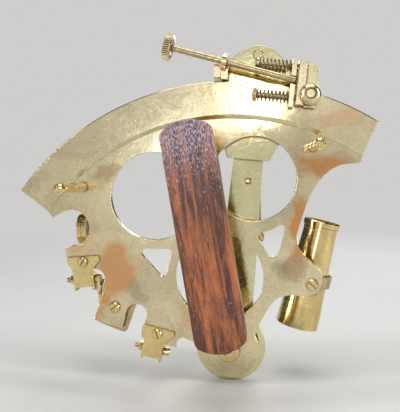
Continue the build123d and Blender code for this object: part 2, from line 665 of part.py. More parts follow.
def magnifier_screw():
    """Knurled pivot screw of the magnifier."""
    high = ARM_FRONT + 2.8 + RUN
    profile = [(0, ARM_BACK - 1.6), (3.4, ARM_BACK - 1.6), (3.8, ARM_BACK - 1.2), (3.8, ARM_BACK - FIT),
               (1.5, ARM_BACK - FIT), (1.5, high), (3.8, high), (3.8, high + 2.6), (3.3, high + 3.1),
               (0, high + 3.1)]
    return on_arm(turned(profile, (MAGNIFIER_PIVOT[0], 0, MAGNIFIER_PIVOT[1]), (0, 1, 0)))


# ---- tangent screw and clamp --------------------------------------------------------------------
def rod_line():
    """Point where the rod passes the knob, its direction, and its length to the clamp bar."""
    run = BAR_LEFT - KNOB[0]
    rise = ROD_END_V - KNOB[1]
    length = (run ** 2 + rise ** 2) ** 0.5
    return (KNOB[0], ROD_Y, KNOB[1]), (run / length, 0, rise / length), length


ROD_R = 1.8
LUG_LEFT = 19.6
LUG_RIGHT = 22.2
BAR_LEFT = 23.2
BAR_RIGHT = 28.2
BLOCK_RIGHT = 34.6
OVER_LIMB = 161.6        # pieces that reach past the limb's edge do so above this


def tangent_rod():
    origin, direction, length = rod_line()
    profile = [(0, -0.4), (ROD_R, -0.4), (ROD_R, length - 1.2), (0.9, length - 0.5), (0, length - 0.5)]
    return on_arm(turned(profile, origin, direction))


def tangent_knob():
    """Knurled head; the rod ends inside it."""
    origin, direction, _ = rod_line()
    profile = [(0, -2.1), (6.8, -2.1), (7.5, -1.4), (7.5, 1.4), (6.9, 2.1), (ROD_R + RUN, 2.1),
               (ROD_R + RUN, -0.5), (0, -0.5)]
    return on_arm(turned(profile, origin, direction))


def tangent_bearing():
    """Block on the end plate with an upright eye for the rod."""
    origin, direction, length = rod_line()
    along = (BEARING_U - origin[0]) / direction[0]
    eye = pin(origin, direction, 4.6, along - 1.5, along + 1.5)
    base = block((-25.0, -18.6), (-2.4, PLATE_BACK), (OVER_LIMB - 1.0, 168.0))
    neck = block((-20.1, -16.4), (ROD_Y + 1.4, LIMB_BACK - 0.4), (159.2, 168.0))
    neck += block((-20.1, -16.4), (ROD_Y + 1.4, PLATE_BACK), (OVER_LIMB - 0.6, 168.0))
    bearing = base + neck + eye
    bearing -= pin(origin, direction, ROD_R + RUN, along - 12, along + 12)
    return on_arm(bearing)


def guide_lug():
    """Upright that the guide screws slide through; its foot clears the limb."""
    lug = block((LUG_LEFT, LUG_RIGHT), (-8.6, -1.7), (146.4, 172.9))
    foot = block((LUG_LEFT - 3.0, LUG_RIGHT + 1.4), (-1.0, PLATE_BACK), (OVER_LIMB, 169.0))
    web = block((LUG_LEFT, LUG_RIGHT), (-2.0, PLATE_BACK), (OVER_LIMB, 172.0))
    lug += foot + web
    for v in GUIDE_V:
        lug -= pin((0, GUIDE_Y, v), (1, 0, 0), 1.2 + RUN, 10, 30)
    origin, direction, length = rod_line()
    lug -= pin(origin, direction, ROD_R + 0.5, length - 12, length + 8)
    return on_arm(lug)


def clamp_bar():
    bar = block((BAR_LEFT, BAR_RIGHT), (-10.2, -1.8), (147.8, 172.4))
    bar = chamfer(bar.edges().filter_by(Axis.Z), 0.5)
    for v in GUIDE_V:
        bar -= pin((0, GUIDE_Y, v), (1, 0, 0), 1.2 + FIT, 10, 30)
    return on_arm(bar)


def clamp_block():
    """Jaws that straddle the outer edge of the limb."""
    back_leg = block((BAR_RIGHT, BLOCK_RIGHT), (-6.4, -1.6), (147.0, 170.6))
    spine = block((BAR_RIGHT, BLOCK_RIGHT), (-2.0, 8.2), (OVER_LIMB, 170.6))
    jaw = block((BAR_RIGHT, BLOCK_RIGHT), (LIMB_FRONT + 0.6, 8.2), (150.0, 170.6))
    clamp = back_leg + spine + jaw
    clamp -= disc(CLAMP_KNOB, 2.0 + RUN, -10, -1)
    return on_arm(clamp)


def guide_screws():
    """Slotted screws that tie the clamp bar to the lug through the springs."""
    end = BAR_RIGHT - 0.6
    profile = [(0, -1.2), (2.8, -1.2), (3.4, -0.6), (3.4, 1.0), (1.2, 1.0), (1.2, end), (0, end)]
    screws = []
    for v in GUIDE_V:
        screw = turned(profile, (0, GUIDE_Y, v), (1, 0, 0))
        screw -= block((-2, -0.4), (GUIDE_Y - 0.45, GUIDE_Y + 0.45), (v - 4, v + 4))
        screws.append(on_arm(screw))
    return screws


def tangent_springs():
    """Space taken by the two coil springs between the screw heads and the lug."""
    profile = [(2.2, 1.1), (3.1, 1.1), (3.1, LUG_LEFT - 0.1), (2.2, LUG_LEFT - 0.1)]
    return [on_arm(turned(profile, (0, GUIDE_Y, v), (1, 0, 0))) for v in GUIDE_V]


def clamp_screw():
    """Thumb screw that locks the clamp on the limb: a domed head with a small flat, clear of the bar."""
    tip = 1.15
    head = 10.3
    edges = [
        Line((0, tip), (2.0, tip)),
        Line((2.0, tip), (2.0, 6.5)),
        Line((2.0, 6.5), (2.6, 6.5)),
        Line((2.6, 6.5), (2.6, head)),
        Line((2.6, head), (5.1, head)),
        Line((5.1, head), (5.7, head + 0.6)),
        Line((5.7, head + 0.6), (5.7, head + 3.2)),
        ThreePointArc((5.7, head + 3.2), (4.6, head + 5.0), (1.9, head + 6.0)),
        Line((1.9, head + 6.0), (0, head + 6.0)),
        Line((0, head + 6.0), (0, tip)),
    ]
    return on_arm(turned_outline(edges, (CLAMP_KNOB[0], 0, CLAMP_KNOB[1]), (0, -1, 0)))


# ---- telescope ------------------------------------------------------------------------------------
SCOPE_AXIS = (sin(radians(SCOPE_TILT)), 0, cos(radians(SCOPE_TILT)))
SCOPE_CENTRE = (SWIVEL[0], OPTIC_Y, SWIVEL[1])
OBJECTIVE_END = -31.0     # distances along the telescope from its swivel
EYEPIECE_END = 36.3
SCOPE_WALL = 0.9


def cone_r(s):
    """Outer radius of the conical tube at a distance from the swivel."""
    return 10.2 + (32.0 - s) * (13.4 - 10.2) / (32.0 - OBJECTIVE_END)


def on_scope(profile):
    return turned(profile, SCOPE_CENTRE, SCOPE_AXIS)


def telescope_tube():
    """Conical brass tube with a rolled lip, and a sleeve for the draw tube at the narrow end."""
    lip = OBJECTIVE_END
    profile = [
        (cone_r(lip) - SCOPE_WALL, lip), (cone_r(lip), lip), (cone_r(30.4), 30.4), (10.45, 30.4),
        (10.45, 32.6), (9.0 + RUN, 32.6), (9.0 + RUN, 22.0), (cone_r(22.0) - SCOPE_WALL, 21.0),
    ]
    return on_scope(profile)


def telescope_collar():
    """Ring around the tube on a stem that swivels on the frame's lug."""
    low, high = -3.6, 3.6
    profile = [(cone_r(low) + FIT, low), (14.2, low), (14.2, high), (cone_r(high) + FIT, high)]
    stem = disc(SWIVEL, 5.0, WEB_T + 0.05, OPTIC_Y - 12.6) + disc(SWIVEL, 8.2, WEB_T + 0.05, WEB_T + 2.6)
    stem -= turned([(0, -20), (13.0, -20), (13.0, 20), (0, 20)], SCOPE_CENTRE, SCOPE_AXIS)
    collar = on_scope(profile) + stem
    collar -= disc(SWIVEL, 2.0 + FIT, 0, OPTIC_Y - 14.0)
    return collar


def swivel_screw():
    return Pos(0, -0.05, 0) * screw_from_back(SWIVEL, 3.2, 2.0, 9.4, -48)


def along_scope(s):
    """Point on the line of sight at a distance from the swivel."""
    return tuple(c + s * d for c, d in zip(SCOPE_CENTRE, SCOPE_AXIS))


def objective_lens():
    radius = cone_r(OBJECTIVE_END + 6.0) - SCOPE_WALL - FIT
    return convex_lens(radius, 1.0, 1.2, along_scope(OBJECTIVE_END + 4.5), SCOPE_AXIS)


def draw_tube():
    """Inner tube with the eyepiece cap; it slides out to focus."""
    profile = [(8.2, 4.0), (9.0, 4.0), (9.0, 32.9), (11.1, 32.9), (11.1, 35.7), (10.6, EYEPIECE_END),
               (6.2, EYEPIECE_END), (6.2, 35.2), (8.2, 35.2)]
    return on_scope(profile)


def eyepiece_lens():
    return convex_lens(8.2 - FIT, 0.8, 0.9, along_scope(31.6), SCOPE_AXIS)


# ---- write every piece ------------------------------------------------------------------------------
def shades():
    """Three index shades and three horizon shades, each a ring with its glass."""
    pieces = {}
    for name, bolt, tilt, leans in (("index", INDEX_BOLT, INDEX_BOLT_TILT, INDEX_LEANS),
                                    ("horizon", HORIZON_BOLT, HORIZON_BOLT_TILT, HORIZON_LEANS)):
        for number, lean in enumerate(leans, start=1):
            offset = (number - 2) * SHADE_PITCH
            pieces[f"{name}_shade_{number}"] = lean_shade(shade_frame(offset), bolt, tilt, lean)
            pieces[f"{name}_shade_glass_{number}"] = lean_shade(shade_glass(offset), bolt, tilt, lean)
    return pieces


SINGLE_PIECES = [
    frame_plate, handle_grip, handle_liner, pivot_bush, index_shade_bracket, horizon_shade_bracket,
    horizon_mirror_frame, horizon_mirror_screw, horizon_glass, horizon_mirror_clip,
    index_arm, arm_end_plate, vernier_scale, index_spindle, pivot_nut, pivot_screw,
    index_mirror_frame, index_mirror, index_mirror_clip, index_adjuster,
    magnifier_arm, magnifier_lens, magnifier_screw,
    tangent_rod, tangent_knob, tangent_bearing, guide_lug, clamp_bar, clamp_block, clamp_screw,
    telescope_tube, telescope_collar, swivel_screw, objective_lens, draw_tube, eyepiece_lens,
]
PIECE_SETS = [
    support_legs, grip_screws, handle_posts, handle_screws, bracket_screws, shade_bolts, shade_nuts,
    horizon_adjusters, arm_end_screws, index_mirror_screws, guide_screws, tangent_springs,
]


def main():
    os.makedirs("parts", exist_ok=True)
    to_origin = Pos(-HANDLE_MID[0], LEG_H, -HANDLE_MID[1])
    pieces = {make.__name__: make() for make in SINGLE_PIECES}
    pieces.update({make.__name__: Compound(children=make()) for make in PIECE_SETS})
    pieces.update(shades())
    for name, piece in pieces.items():
        export_step(to_origin * piece, f"parts/{name}.step")


main()
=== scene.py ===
import json
import math

import bmesh
import bpy
from mathutils import Matrix, Vector


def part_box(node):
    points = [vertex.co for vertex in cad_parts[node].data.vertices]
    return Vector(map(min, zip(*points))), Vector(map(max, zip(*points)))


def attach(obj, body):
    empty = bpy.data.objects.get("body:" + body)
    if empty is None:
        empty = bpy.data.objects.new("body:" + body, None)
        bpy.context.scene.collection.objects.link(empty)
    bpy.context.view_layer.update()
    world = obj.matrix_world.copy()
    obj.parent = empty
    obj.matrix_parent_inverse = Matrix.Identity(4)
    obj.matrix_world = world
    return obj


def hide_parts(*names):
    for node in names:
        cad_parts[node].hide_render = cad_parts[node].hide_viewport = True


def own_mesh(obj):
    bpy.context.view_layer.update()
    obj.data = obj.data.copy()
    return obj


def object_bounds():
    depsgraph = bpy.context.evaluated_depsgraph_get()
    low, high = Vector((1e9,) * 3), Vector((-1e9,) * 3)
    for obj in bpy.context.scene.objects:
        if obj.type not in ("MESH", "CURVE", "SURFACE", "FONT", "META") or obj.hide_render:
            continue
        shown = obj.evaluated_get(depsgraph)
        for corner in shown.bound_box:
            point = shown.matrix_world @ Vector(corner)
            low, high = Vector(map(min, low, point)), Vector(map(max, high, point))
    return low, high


# Looks of the nautical sextant: materials for every CAD node, coil springs, knurled heads,
# engraved scales, floor, lights and camera. Metres, in the row frame.

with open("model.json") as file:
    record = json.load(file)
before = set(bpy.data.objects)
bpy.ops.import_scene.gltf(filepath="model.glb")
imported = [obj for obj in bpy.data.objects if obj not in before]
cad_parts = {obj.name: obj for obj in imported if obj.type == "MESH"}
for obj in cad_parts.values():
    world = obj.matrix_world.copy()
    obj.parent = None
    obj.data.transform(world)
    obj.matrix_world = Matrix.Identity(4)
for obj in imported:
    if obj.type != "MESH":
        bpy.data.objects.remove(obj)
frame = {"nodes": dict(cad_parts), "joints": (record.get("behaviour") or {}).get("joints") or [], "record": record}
cad_low, cad_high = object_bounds()
nodes = frame["nodes"]
joints = {joint["name"]: joint for joint in frame["joints"]}

MM = 0.001

PIVOT = Vector(joints["index_arm_swing"]["pos_m"])      # centre of the arc, on the plate's back face

# The arm's own axes: across it, along it from the pivot, and the row's Y out of the plate.
ACROSS = Vector(joints["clamp_travel"]["axis"]).normalized()
ALONG = Vector((-ACROSS.z, 0, ACROSS.x))
ARM_TURN = math.atan2(ALONG.x, ALONG.z)
CENTRE = Vector((PIVOT.x, 0, PIVOT.z))


# ---- node building blocks -------------------------------------------------------------------
class Nodes:
    """A node tree, with one short method for each kind of node that the looks need."""

    def __init__(self, tree):
        self.tree = tree

    def new(self, kind, **settings):
        node = self.tree.nodes.new(kind)
        for key, value in settings.items():
            setattr(node, key, value)
        return node

    def wire(self, value, socket):
        """Feed a socket with another socket or with a plain value."""
        if isinstance(value, bpy.types.NodeSocket):
            self.tree.links.new(value, socket)
        else:
            socket.default_value = value

    def math(self, operation, first, second):
        node = self.new("ShaderNodeMath", operation=operation)
        self.wire(first, node.inputs[0])
        self.wire(second, node.inputs[1])
        return node.outputs[0]

    def plus(self, first, second):
        return self.math("ADD", first, second)

    def minus(self, first, second):
        return self.math("SUBTRACT", first, second)

    def times(self, first, second):
        return self.math("MULTIPLY", first, second)

    def vector(self, operation, *values):
        """Result of a vector operation on sockets or plain vectors."""
        node = self.new("ShaderNodeVectorMath", operation=operation)
        for value, socket in zip(values, node.inputs):
            self.wire(value, socket)
        return node.outputs["Value" if operation in ("LENGTH", "DOT_PRODUCT") else "Vector"]

    def mix(self, share, first, second):
        """Colour between two colours."""
        node = self.new("ShaderNodeMix", data_type="RGBA")
        self.wire(share, node.inputs["Factor"])
        self.wire((*first, 1.0) if isinstance(first, tuple) else first, node.inputs[6])
        self.wire((*second, 1.0) if isinstance(second, tuple) else second, node.inputs[7])
        return node.outputs[2]

    def ramp(self, value, low, high, start=0.0, end=1.0, shape="SMOOTHSTEP"):
        """Step of a value from low to high, giving start to end."""
        node = self.new("ShaderNodeMapRange", interpolation_type=shape)
        for socket, item in zip(node.inputs, (value, low, high, start, end)):
            self.wire(item, socket)
        return node.outputs["Result"]

    def noise_node(self, vector, scale=1.0, detail=4.0, rough=0.5, distort=0.0):
        node = self.new("ShaderNodeTexNoise")
        self.wire(vector, node.inputs["Vector"])
        node.inputs["Scale"].default_value = scale
        node.inputs["Detail"].default_value = detail
        node.inputs["Roughness"].default_value = rough
        node.inputs["Distortion"].default_value = distort
        return node

    def noise(self, vector, *settings):
        """Grey noise; the settings are scale, detail, roughness and distortion."""
        return self.noise_node(vector, *settings).outputs["Fac"]


class Shader(Nodes):
    """A material whose pattern is laid out in metres from the index pivot."""

    RAGGED = 12 * MM        # how far the edge of a stain wanders
    CORNER_REACH = 2.2 * MM

    def __init__(self, name):
        self.material = bpy.data.materials.new(name)
        self.material.use_nodes = True
        super().__init__(self.material.node_tree)
        self.surface = self.tree.nodes["Principled BSDF"]
        self.place = self.vector("SUBTRACT", self.new("ShaderNodeTexCoord").outputs["Object"], PIVOT)
        self.warped = None

    def stretch(self, scale, turn=0.0, origin=(0, 0, 0)):
        """Coordinates from an origin, turned about Y and scaled along the turned axes."""
        turned = self.new("ShaderNodeVectorRotate", rotation_type="Y_AXIS")
        self.wire(self.vector("SUBTRACT", self.place, origin), turned.inputs["Vector"])
        turned.inputs["Angle"].default_value = turn
        return self.vector("MULTIPLY", turned.outputs[0], scale)

    def part(self, vector, axis):
        """One coordinate of a vector."""
        split = self.new("ShaderNodeSeparateXYZ")
        self.wire(vector, split.inputs[0])
        return split.outputs[axis]

    def distance(self, centre):
        """Distance from a place on the plate, across its face."""
        offset = self.vector("SUBTRACT", self.place, centre)
        return self.vector("LENGTH", self.vector("MULTIPLY", offset, (1, 0, 1)))

    def blob(self, centre, size):
        """1 at a place on the plate, falling to 0 at ragged half sizes along X and Z, in millimetres."""
        if self.warped is None:
            ripple = self.noise_node(self.place, 70.0, 5.0).outputs["Color"]
            swing = (2 * self.RAGGED, 0, 2 * self.RAGGED)
            shifted = self.vector("MULTIPLY_ADD", ripple, swing, self.place)
            self.warped = self.vector("SUBTRACT", shifted, (self.RAGGED, 0, self.RAGGED))
        offset = self.vector("SUBTRACT", self.warped, (centre[0] * MM, 0, centre[1] * MM))
        scaled = self.vector("MULTIPLY", offset, (1 / (size[0] * MM), 0, 1 / (size[1] * MM)))
        return self.ramp(self.vector("LENGTH", scaled), 1.0, 0.0)

    def bump(self, height, strength, distance, before=None):
        """Bump from a height field, on top of an earlier normal."""
        node = self.new("ShaderNodeBump")
        self.wire(height, node.inputs["Height"])
        self.wire(strength, node.inputs["Strength"])
        node.inputs["Distance"].default_value = distance
        if before is not None:
            self.wire(before, node.inputs["Normal"])
        return node.outputs[0]

    def corners(self):
        """1 deep in corners and slots, 0 on open faces; it sets where shade is painted in."""
        shade = self.new("ShaderNodeAmbientOcclusion", samples=8)
        shade.inputs["Distance"].default_value = self.CORNER_REACH
        return self.ramp(shade.outputs["AO"], 0.92, 0.45)

    def worn_edges(self, radius):
        """Normal that rounds sharp corners in the shading, and a mask that is 1 on those corners, where wear and a
        painted highlight brighten the edges.
        """
        bevel = self.new("ShaderNodeBevel", samples=6)
        bevel.inputs["Radius"].default_value = radius
        flat = self.new("ShaderNodeNewGeometry").outputs["Normal"]
        agree = self.vector("DOT_PRODUCT", bevel.outputs[0], flat)
        return bevel.outputs[0], self.ramp(agree, 0.995, 0.93)

    def finish(self, **inputs):
        """Feed the surface's inputs, named with underscores for spaces, and give the material."""
        for key, value in inputs.items():
            self.wire(value, self.surface.inputs[key.replace("_", " ")])
        return self.material


# ---- materials --------------------------------------------------------------------------------
BACKDROP = 0.62          # brightness of the background, close to that of the floor
BACKDROP_TINT = (1.0, 0.99, 0.97)
FLOOR_FADE = (0.25, 0.95)   # distances from the pivot between which the floor turns into the backdrop


FROST_TINT = (0.93, 0.88, 0.72)
PIT_TINT = (0.16, 0.11, 0.05)
EDGE_WEAR_HIGHLIGHT_TINT = (1.0, 0.82, 0.42)
CORNER_SHADE_TINT = (0.15, 0.09, 0.04)
SHADE_RING_TINT = (0.10, 0.06, 0.03)


def brass(name, light, dark, rough, pits=0.3, stains=(), grain=(1, 1, 1), edge=0.2, tarnish=0.6,
          frost=0.0, relief=0.3, wave=0.0, buffed=(), grime=0.8, ring=None):
    """Worn brass: cloudy tint, pits, brushing one way, painted shade in corners, edges bright from wear and a
    painted highlight, stains at places.

    frost is the share of pale grit, relief the depth of the fine texture, wave the depth of broad dents,
    edge the width in millimetres of the edges bright from wear and painted highlight, buffed the places that are
    polished smoother than the rest, grime the strength of the painted shade in corners, and ring a circle of
    painted shade given as its centre, inner and outer radius.
    """
    shader = Shader(name)
    cloud = shader.noise(shader.place, 32.0, 5.0, 0.6, 0.6)
    fine = shader.noise(shader.place, 420.0, 6.0, 0.7)
    grit = shader.noise(shader.place, 950.0, 4.0, 0.7)
    specks = shader.noise(shader.place, 1500.0, 2.0, 0.5)
    brushed = shader.noise(shader.stretch(tuple(900.0 * g for g in grain)), 1.0, 3.0, 0.6)
    dull = 1.0
    for centre, size in buffed:
        dull = shader.minus(dull, shader.times(shader.blob(centre, size), 0.8))
    worn = shader.ramp(shader.plus(cloud, shader.times(fine, 0.55)), 0.58, 0.98)
    pitted = shader.ramp(shader.plus(specks, shader.times(cloud, 0.30)), 0.76, 0.90)

    colour = shader.mix(shader.times(worn, tarnish), light, dark)
    pale = shader.times(shader.ramp(grit, 0.46, 0.66), shader.times(dull, frost))
    colour = shader.mix(pale, colour, FROST_TINT)
    colour = shader.mix(shader.times(pitted, pits), colour, PIT_TINT)
    for centre, size, tint, share in stains:
        patch = shader.blob(centre, size)
        ragged = shader.ramp(shader.plus(patch, shader.times(fine, 0.45)), 0.28, 1.0)
        colour = shader.mix(shader.times(ragged, share), colour, tint)
    # Edges: a brighter gold from wear together with a painted highlight.
    rim, rubbed_lit_edge = shader.worn_edges(edge * MM)
    colour = shader.mix(rubbed_lit_edge, colour, EDGE_WEAR_HIGHLIGHT_TINT)
    # Painted shade: corners and slots are darkened where little light reaches them.
    colour = shader.mix(shader.times(shader.corners(), grime), colour, CORNER_SHADE_TINT)
    # A dark ring of painted shade, like that round the edge of a flat top on a dome.
    if ring:
        centre, inner, outer = ring
        away = shader.distance(centre)
        inside = shader.ramp(away, outer, outer + 0.3 * MM, 1.0, 0.0)
        band = shader.times(shader.ramp(away, inner - 0.2 * MM, inner), inside)
        colour = shader.mix(shader.times(band, 0.8), colour, SHADE_RING_TINT)

    haze = shader.times(pitted, 0.25)
    roughness = shader.times(shader.plus(shader.ramp(fine, 0.35, 0.65, *rough), haze), dull)
    height = shader.minus(shader.times(brushed, 0.5), pitted)
    normal = shader.bump(height, shader.times(dull, 0.35 * relief), 0.06 * MM, before=rim)
    normal = shader.bump(fine, shader.times(dull, 0.2 * relief), 0.25 * MM, before=normal)
    if wave:
        dents = shader.noise(shader.place, 190.0, 2.0, 0.5, 0.5)
        normal = shader.bump(dents, wave, 0.9 * MM, before=normal)
    return shader.finish(Base_Color=colour, Metallic=1.0, Roughness=roughness, Normal=normal)


def bell_middle():
    """Middle of the clamp screw's head in the material's own coordinates."""
    low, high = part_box("clamp_screw")
    return tuple((low + high) / 2 - PIVOT)


COPPER = (0.74, 0.34, 0.12)
BROWN = (0.46, 0.28, 0.13)
UMBER = (0.30, 0.23, 0.13)

# Place on the plate from the pivot and half sizes, both across and up in millimetres, tint, strength.
PLATE_STAINS = [
    ((-70, 48), (24, 30), COPPER, 0.80),
    ((-78, 30), (9, 24), COPPER, 0.90),
    ((-80, 20), (12, 10), COPPER, 0.60),
    ((-56, 33), (13, 13), UMBER, 0.42),
    ((-72, 106), (22, 7), BROWN, 0.60),
    ((-92, 70), (16, 26), COPPER, 0.40),
    ((42, 72), (9, 32), COPPER, 0.95),
    ((37, 52), (14, 12), BROWN, 0.55),
    ((53, 110), (22, 12), COPPER, 0.85),
    ((68, 116), (14, 9), BROWN, 0.45),
    ((30, 50), (12, 14), UMBER, 0.40),
    ((62, 138), (26, 8), COPPER, 0.35),
    ((-22, 20), (16, 14), COPPER, 0.40),
]
TUBE_STAINS = [
    ((39, 10), (16, 16), UMBER, 0.60),
    ((52, 48), (8, 26), BROWN, 0.35),
]


GRIP_TILT = -math.atan2(13.6, 80.0)      # the handle leans to the left of straight up
WOOD_LIGHT = (0.58, 0.165, 0.045)
WOOD_DARK = (0.080, 0.020, 0.012)
WOOD_STREAK = (0.60, 0.21, 0.085)
WOOD_CLOUD = (0.10, 0.030, 0.024)
WOOD_PORE = (0.02, 0.008, 0.008)
# Painted bluish sheen, and pale specks that are painted glints near the top and small scratches lower down.
WOOD_SHEEN = (0.17, 0.12, 0.15)
WOOD_GLINT = (0.66, 0.62, 0.76)


def rosewood():
    """Oiled dark wood with long grain and open pores, a painted bluish sheen towards its upper end, and pale
    specks that are painted glints there and small scratches lower down.
    """
    shader = Shader("rosewood")
    low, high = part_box("handle_grip")
    centre = tuple((low + high) / 2 - PIVOT)

    def along_grain(across, along):
        return shader.stretch((across, across, along), -GRIP_TILT, centre)

    grain_at = along_grain(260.0, 22.0)
    bands = shader.noise(grain_at, 1.0, 6.0, 0.6, 0.8)
    streaks = shader.ramp(shader.noise(grain_at, 3.5, 4.0, 0.55), 0.5, 0.75)
    pores = shader.ramp(shader.noise(along_grain(1500.0, 130.0), 1.0, 3.0, 0.6), 0.56, 0.70)
    cloud = shader.noise(shader.place, 45.0, 4.0, 0.6)
    colour = shader.mix(shader.ramp(bands, 0.36, 0.62), WOOD_LIGHT, WOOD_DARK)
    colour = shader.mix(shader.times(streaks, 0.6), colour, WOOD_STREAK)
    colour = shader.mix(shader.times(shader.ramp(cloud, 0.45, 0.72), 0.55), colour, WOOD_CLOUD)
    colour = shader.mix(pores, colour, WOOD_PORE)

    # Painted sheen and glints, strongest towards the upper end of the handle.
    height = shader.part(along_grain(1.0, 1.0), "Z")
    sheen_towards_top = shader.ramp(height, 12 * MM, 60 * MM)
    glint_noise = shader.noise(along_grain(1500.0, 520.0), 1.0, 3.0, 0.65)
    sparkle = shader.plus(glint_noise, shader.times(sheen_towards_top, 0.15))
    sparkle = shader.plus(sparkle, shader.times(cloud, 0.14))
    colour = shader.mix(shader.times(sheen_towards_top, 0.35), colour, WOOD_SHEEN)
    colour = shader.mix(shader.times(shader.ramp(sparkle, 0.69, 0.79), 0.8), colour, WOOD_GLINT)

    grain = shader.minus(shader.times(bands, 0.5), pores)
    normal = shader.bump(grain, 0.7, 0.3 * MM)
    speckle = shader.noise(shader.place, 1100.0, 3.0, 0.6)
    normal = shader.bump(speckle, 0.7, 0.4 * MM, before=normal)
    roughness = shader.ramp(cloud, 0.3, 0.7, 0.38, 0.55)
    return shader.finish(Base_Color=colour, Roughness=roughness, Normal=normal, Coat_Weight=0.3,
                         Coat_Roughness=0.25)


def steel(name, colour, rough):
    """Bare metal with fine uneven wear."""
    shader = Shader(name)
    wear = shader.noise(shader.place, 700.0, 4.0, 0.6)
    tint = shader.mix(shader.ramp(wear, 0.4, 0.7), colour, tuple(c * 0.55 for c in colour))
    roughness = shader.ramp(wear, 0.3, 0.7, rough, rough + 0.2)
    normal = shader.bump(wear, 0.2, 0.08 * MM)
    return shader.finish(Base_Color=tint, Metallic=1.0, Roughness=roughness, Normal=normal)


def glass(name, colour, rough=0.02):
    """Tinted glass with faint smears."""
    shader = Shader(name)
    smear = shader.noise(shader.place, 180.0, 3.0, 0.6)
    roughness = shader.ramp(smear, 0.5, 0.75, rough, rough + 0.10)
    tint = shader.mix(shader.ramp(smear, 0.3, 0.8), colour, tuple(c * 0.9 for c in colour))
    return shader.finish(Base_Color=tint, Roughness=roughness, Transmission_Weight=1.0, IOR=1.5)


def mirror(name, half_at=None):
    """Silvered glass; with half_at, the glass is clear beyond that distance from the plate."""
    shader = Shader(name)
    smear = shader.noise(shader.place, 150.0, 4.0, 0.6)
    roughness = shader.ramp(smear, 0.5, 0.8, 0.02, 0.10)
    silver = 1.0
    clear = 0.0
    if half_at is not None:
        depth = shader.part(shader.place, "Y")
        silver = shader.ramp(depth, half_at + 0.2 * MM, half_at - 0.2 * MM)
        clear = shader.minus(1.0, silver)
    tint = shader.mix(shader.ramp(smear, 0.4, 0.9), (0.90, 0.92, 0.93), (0.80, 0.83, 0.84))
    return shader.finish(Base_Color=tint, Metallic=silver, Roughness=roughness,
                         Transmission_Weight=clear, IOR=1.5)


def engraving():
    """Black wax in engraved lines."""
    shader = Shader("engraving_fill")
    grime = shader.noise(shader.place, 900.0, 3.0, 0.6)
    colour = shader.mix(shader.ramp(grime, 0.4, 0.7), (0.012, 0.011, 0.010), (0.05, 0.04, 0.03))
    return shader.finish(Base_Color=colour, Roughness=shader.ramp(grime, 0.3, 0.7, 0.45, 0.75))


def pale_floor():
    """Plain pale floor that fades into the backdrop's tone with distance."""
    shader = Shader("pale_floor")
    mottle = shader.noise(shader.place, 6.0, 3.0, 0.5)
    colour = shader.mix(shader.ramp(mottle, 0.3, 0.7), (0.74, 0.74, 0.73), (0.78, 0.78, 0.77))
    far = shader.ramp(shader.vector("LENGTH", shader.place), *FLOOR_FADE)
    near_colour = shader.mix(far, colour, (0.0, 0.0, 0.0))
    glow = shader.times(far, BACKDROP)
    return shader.finish(Base_Color=near_colour, Roughness=0.85, Specular_IOR_Level=0.1,
                         Emission_Color=(*BACKDROP_TINT, 1.0), Emission_Strength=glow)


CAST_LIGHT = (0.88, 0.76, 0.47)
CAST_DARK = (0.60, 0.50, 0.30)
ARM_LIGHT = (0.84, 0.78, 0.46)
ARM_DARK = (0.60, 0.54, 0.28)
GOLD_LIGHT = (0.90, 0.72, 0.34)
GOLD_DARK = (0.62, 0.44, 0.17)
AGED_LIGHT = (0.72, 0.58, 0.33)
AGED_DARK = (0.34, 0.25, 0.14)

# The stretch of the limb and web that years of handling have polished.
BUFFED = [((30, 112), (58, 52)), ((20, 0), (30, 24))]
# Inner and outer radius of the ring of painted shade on the clamp screw's dome.
BELL_SHADE_RING = (2.3 * MM, 2.9 * MM)

